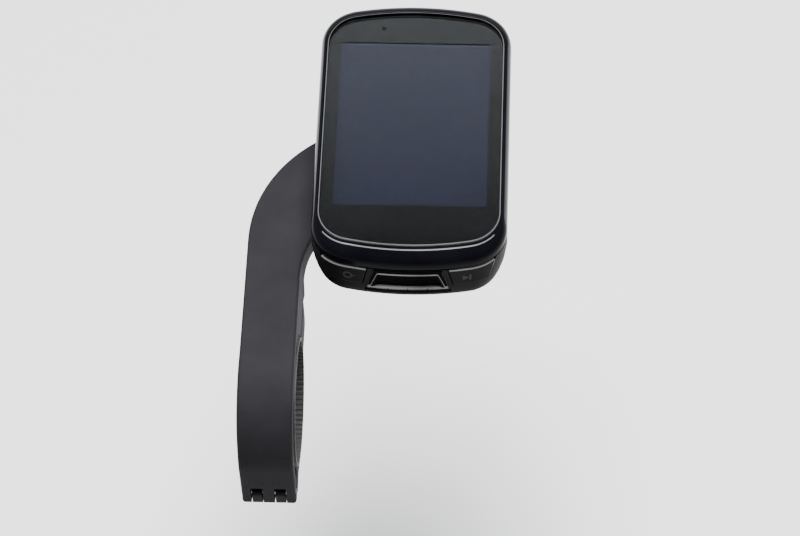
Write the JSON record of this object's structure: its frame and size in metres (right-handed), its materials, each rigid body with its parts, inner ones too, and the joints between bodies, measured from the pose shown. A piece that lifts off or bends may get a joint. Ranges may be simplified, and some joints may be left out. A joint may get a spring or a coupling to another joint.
{
  "type": "cycling computer",
  "caption": "Small black handlebar cycling computer with a glass display, twist-locked on a curved flat out-front arm with a hinged bar clamp.",
  "frame": {"origin": "centre of the handlebar bore, on the middle plane of the clamp band", "axes": "+X along the handlebar to the rider's right, +Y ahead of the rider, +Z out of the display"},
  "size_m": [0.0681, 0.1213, 0.0634],
  "materials": {
    "mount_plastic": "fine moulded grain",
    "satin_case": "satin",
    "gloss_case": "polished black",
    "cover_glass": "polished, black printed border",
    "display": "switched-off colour display",
    "button_plastic": "fine moulded grain",
    "rubber": "matt moulded",
    "steel": "plain",
    "dark_steel": "black oxide",
    "brass": "turned",
    "circuit_board": "solder mask",
    "sheet_metal": "tinned",
    "battery_foil": "foil pouch",
    "light_plastic": "plain",
    "ceramic": "fired ceramic",
    "dark_plastic": "plain",
    "amber_film": "polyimide film",
    "membrane": "woven vent membrane"
  },
  "bodies": {
    "mount": {"mount_arm": "mount_plastic", "bar_pad": "rubber", "hinge_pin": "steel", "thread_insert": "brass"},
    "jaw": {"clamp_jaw": "mount_plastic"},
    "washer": {"bolt_washer": "dark_steel"},
    "bolt": {"clamp_bolt": "dark_steel"},
    "computer": {"cover_glass": "cover_glass", "glass_adhesive": "rubber", "front_housing": "gloss_case", "rear_housing": "satin_case", "housing_seal": "rubber", "display_module": "display", "display_frame": "sheet_metal", "display_flex": "amber_film", "main_board": "circuit_board", "processor_shield": "sheet_metal", "radio_shield": "sheet_metal", "battery": "battery_foil", "battery_connector": "light_plastic", "satellite_antenna": "ceramic", "radio_antenna": "ceramic", "beeper": "dark_plastic", "light_sensor": "dark_plastic", "vent_membrane": "membrane", "usb_socket": "steel", "lap_seal": "rubber", "start_seal": "rubber", "power_seal": "rubber", "lap_switch": "sheet_metal", "start_switch": "sheet_metal", "power_switch": "sheet_metal", "housing_screw_1": "dark_steel", "housing_screw_2": "dark_steel", "housing_screw_3": "dark_steel", "housing_screw_4": "dark_steel"},
    "lap": {"lap_button": "button_plastic"},
    "start": {"start_button": "button_plastic"},
    "power": {"power_button": "button_plastic"},
    "cover": {"port_cover": "rubber"}
  },
  "joints": [
    {"name": "quarter_turn", "type": "hinge", "parent": "mount", "child": "computer", "pos_m": [0.0355, 0.0576, 0.026], "axis": [0, 0, 1], "range_deg": [0, 90]},
    {"name": "lap_press", "type": "slide", "parent": "computer", "child": "lap", "axis": [0.2588, 0.9659, 0], "range_m": [0, 0.0004], "stiffness_N_per_m": 4000},
    {"name": "start_press", "type": "slide", "parent": "computer", "child": "start", "axis": [-0.2588, 0.9659, 0], "range_m": [0, 0.0004], "stiffness_N_per_m": 4000},
    {"name": "power_press", "type": "slide", "parent": "computer", "child": "power", "axis": [1, 0, 0], "range_m": [0, 0.0003], "stiffness_N_per_m": 4000},
    {"name": "cover_hinge", "type": "hinge", "parent": "computer", "child": "cover", "pos_m": [0.0355, 0.01775, 0.036], "axis": [-1, 0, 0], "range_deg": [0, 100]},
    {"name": "bolt_turn", "type": "hinge", "parent": "washer", "child": "bolt", "pos_m": [0, 0.0228, 0], "axis": [0, 0, -1], "range_deg": [0, 1080.5]},
    {"name": "bolt_advance", "type": "slide", "parent": "mount", "child": "washer", "axis": [0, 0, -1], "range_m": [0, 0.0021]},
    {"name": "jaw_hinge", "type": "hinge", "parent": "mount", "child": "jaw", "pos_m": [0, -0.019, -0.0134], "axis": [-1, 0, 0], "range_deg": [0, 2.9]}
  ],
  "couplings": [
    {"joint": "bolt_turn", "follows": "bolt_advance", "rad_per_m": 8976},
    {"joint": "jaw_hinge", "follows": "bolt_advance", "rad_per_m": 23.923}
  ]
}
